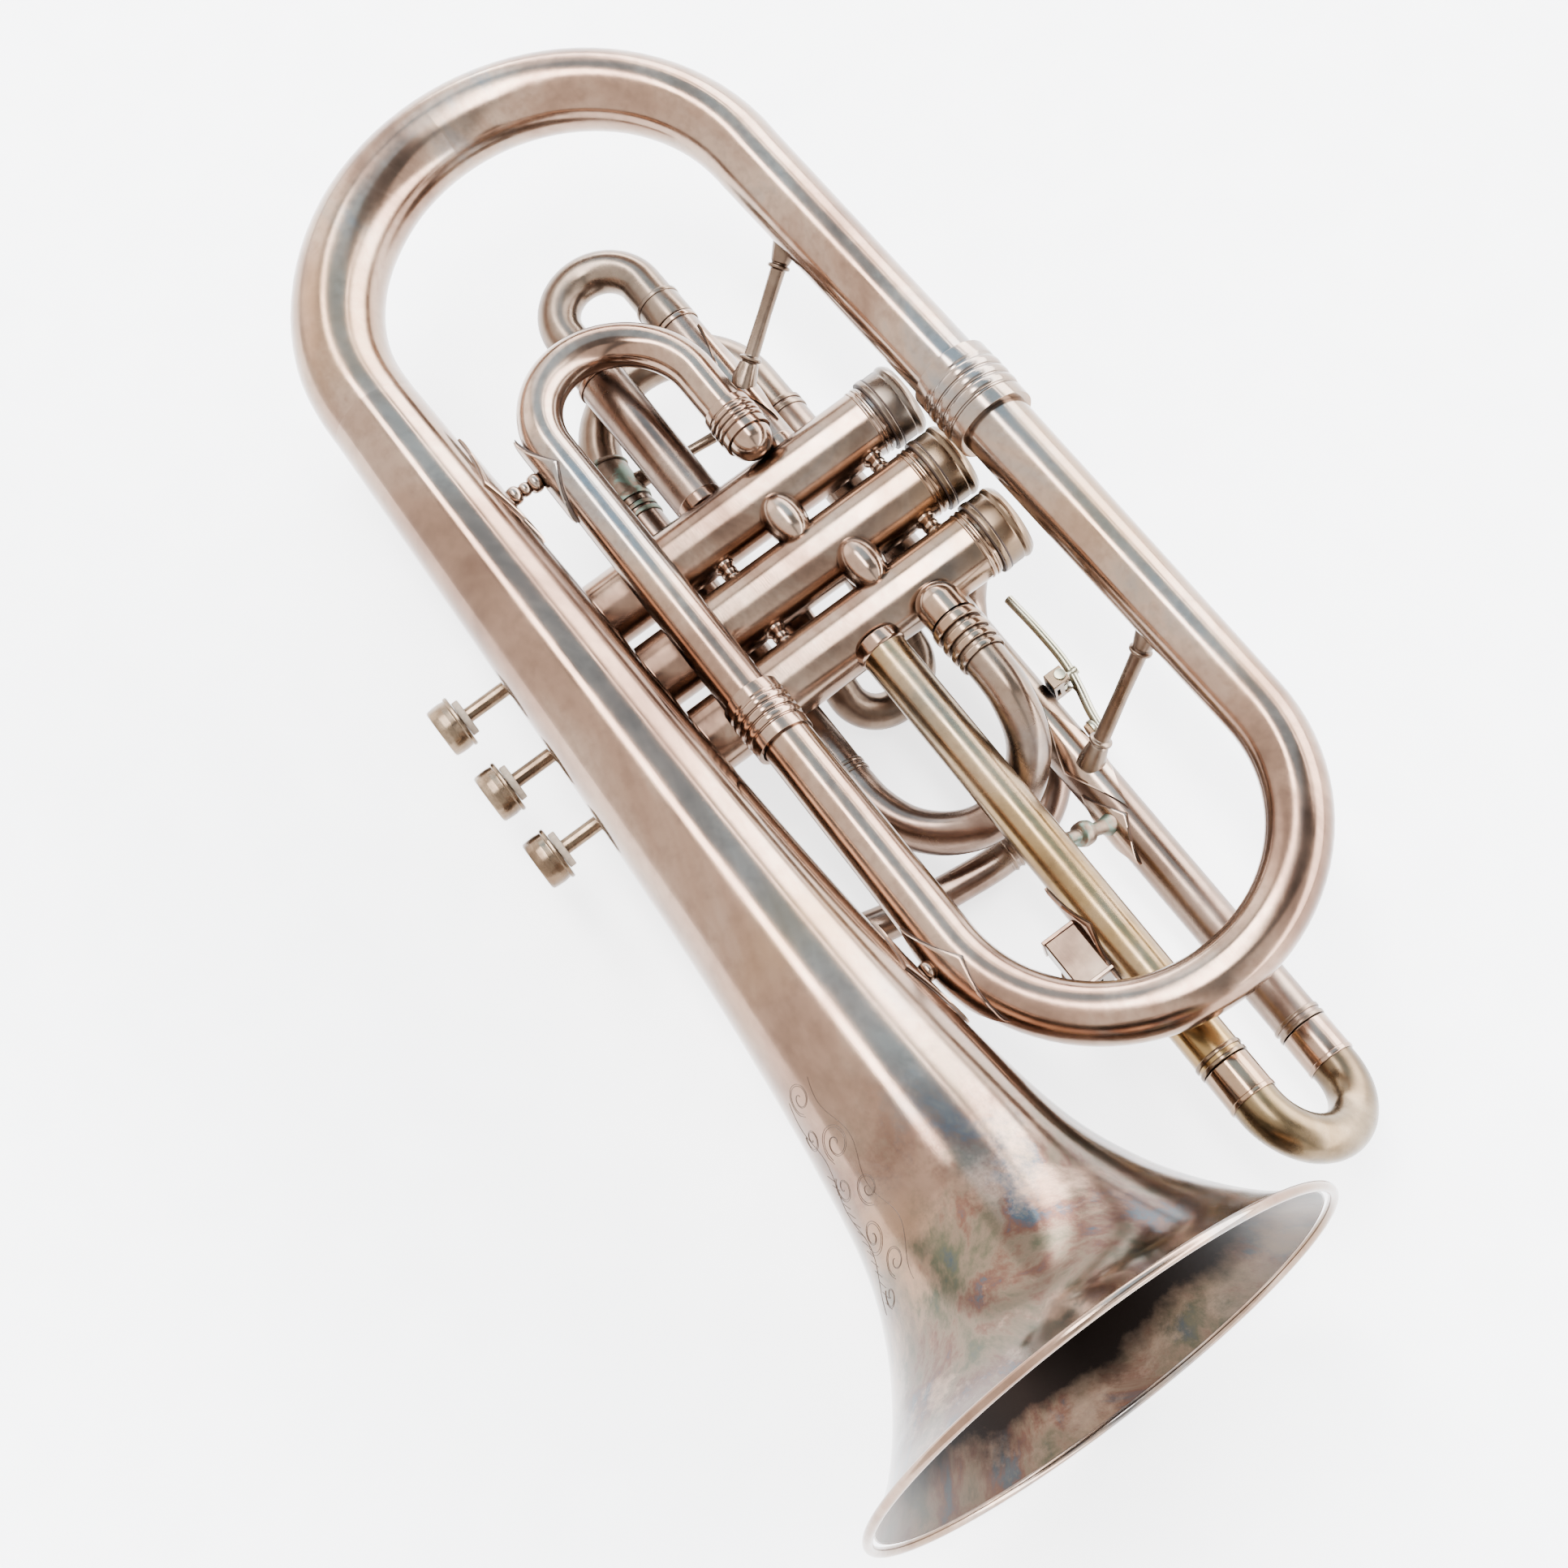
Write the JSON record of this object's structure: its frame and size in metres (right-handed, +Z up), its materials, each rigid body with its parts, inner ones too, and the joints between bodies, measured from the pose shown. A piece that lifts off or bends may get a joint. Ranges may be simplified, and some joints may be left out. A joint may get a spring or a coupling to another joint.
{
  "type": "flugelhorn",
  "caption": "Piston-valve flugelhorn lying on its side, with a wide conical bell, round bows, pull slides, a sprung water key and finger buttons.",
  "frame": {"origin": "centre of the box's base, on the surface the horn lies on", "axes": "+X out of the bell mouth, +Y along the valves towards their bottom caps, +Z up from the surface"},
  "size_m": [0.4058, 0.21, 0.1376],
  "materials": {
    "silver_plate": "tarnished silver plate over brass, satin to polished",
    "yellow_brass": "worn plate showing yellow brass, polished by handling",
    "dark_brass": "dark tarnished brass",
    "steel": "bright satin metal"
  },
  "bodies": {
    "horn": {"bell": "silver_plate", "bell_rim_wire": "silver_plate", "main_bow": "silver_plate", "back_tube": "silver_plate", "right_bow": "silver_plate", "small_bow": "silver_plate", "ferrule_back_tube": "silver_plate", "ferrule_return_tube": "silver_plate", "ferrule_small_bow": "silver_plate", "dome_elbow_valve_1": "silver_plate", "dome_elbow_valve_3": "silver_plate", "valve_casing_1": "silver_plate", "top_cap_1": "silver_plate", "bottom_cap_1": "silver_plate", "valve_spring_1": "steel", "valve_casing_2": "silver_plate", "top_cap_2": "silver_plate", "bottom_cap_2": "silver_plate", "valve_spring_2": "steel", "valve_casing_3": "silver_plate", "top_cap_3": "silver_plate", "bottom_cap_3": "silver_plate", "valve_spring_3": "steel", "knuckle_1": "silver_plate", "knuckle_2": "silver_plate", "casing_post_1": "silver_plate", "casing_post_2": "silver_plate", "casing_post_3": "silver_plate", "casing_post_4": "silver_plate", "first_slide_leg_1": "silver_plate", "first_slide_leg_2": "silver_plate", "second_slide_leg_1": "silver_plate", "second_slide_leg_2": "silver_plate", "long_tube": "silver_plate", "lower_tube_and_loop": "silver_plate", "tuning_leg": "yellow_brass", "mouthpiece_receiver": "silver_plate", "mouthpipe": "silver_plate", "mouthpipe_crossing": "silver_plate", "mouthpipe_return": "silver_plate", "brace_back_tube_to_first_slide": "silver_plate", "brace_back_tube_to_long_tube": "silver_plate", "brace_slide_legs": "silver_plate", "bell_brace_upper": "silver_plate", "bell_brace_lower": "silver_plate", "lyre_socket": "silver_plate", "water_key_saddle": "dark_brass"},
    "third_slide": {"third_slide_brace": "dark_brass", "third_slide_bow": "dark_brass"},
    "first_slide": {"first_slide_bow": "dark_brass"},
    "second_slide": {"second_slide_bow": "yellow_brass"},
    "tuning_slide": {"tuning_slide_bow": "yellow_brass"},
    "thumb_screw": {"lyre_thumb_screw": "dark_brass"},
    "water_key": {"water_key_lever": "steel"},
    "valve_1": {"piston_1": "steel", "stem_button_1": "dark_brass"},
    "valve_2": {"piston_2": "steel", "stem_button_2": "dark_brass"},
    "valve_3": {"piston_3": "steel", "stem_button_3": "dark_brass"}
  },
  "joints": [
    {"name": "valve_1_press", "type": "slide", "parent": "horn", "child": "valve_1", "axis": [0, 1, 0], "range_m": [0, 0.0155], "stiffness_N_per_m": 120, "springref_m": -0.02, "deforming": ["valve_spring_1"]},
    {"name": "valve_2_press", "type": "slide", "parent": "horn", "child": "valve_2", "axis": [0, 1, 0], "range_m": [0, 0.0155], "stiffness_N_per_m": 120, "springref_m": -0.02, "deforming": ["valve_spring_2"]},
    {"name": "valve_3_press", "type": "slide", "parent": "horn", "child": "valve_3", "axis": [0, 1, 0], "range_m": [0, 0.0155], "stiffness_N_per_m": 120, "springref_m": -0.02, "deforming": ["valve_spring_3"]},
    {"name": "tuning_slide_pull", "type": "slide", "parent": "horn", "child": "tuning_slide", "axis": [1, 0, 0], "range_m": [0, 0.045]},
    {"name": "first_slide_pull", "type": "slide", "parent": "horn", "child": "first_slide", "axis": [-1, 0, 0], "range_m": [0, 0.02]},
    {"name": "second_slide_pull", "type": "slide", "parent": "horn", "child": "second_slide", "axis": [0.7071, 0, -0.7071], "range_m": [0, 0.01]},
    {"name": "third_slide_pull", "type": "slide", "parent": "horn", "child": "third_slide", "axis": [-1, 0, 0], "range_m": [0, 0.022]},
    {"name": "water_key_rock", "type": "hinge", "parent": "horn", "child": "water_key", "pos_m": [0.04113, 0.06945, 0.0248], "axis": [0, 0, 1], "range_deg": [0, 7], "stiffness_Nm_per_rad": 0.15, "springref_deg": -11.46},
    {"name": "thumb_screw_turn", "type": "hinge", "parent": "horn", "child": "thumb_screw", "pos_m": [0.11113, 0.02245, 0.0346], "axis": [0, 0, 1], "continuous": true}
  ]
}
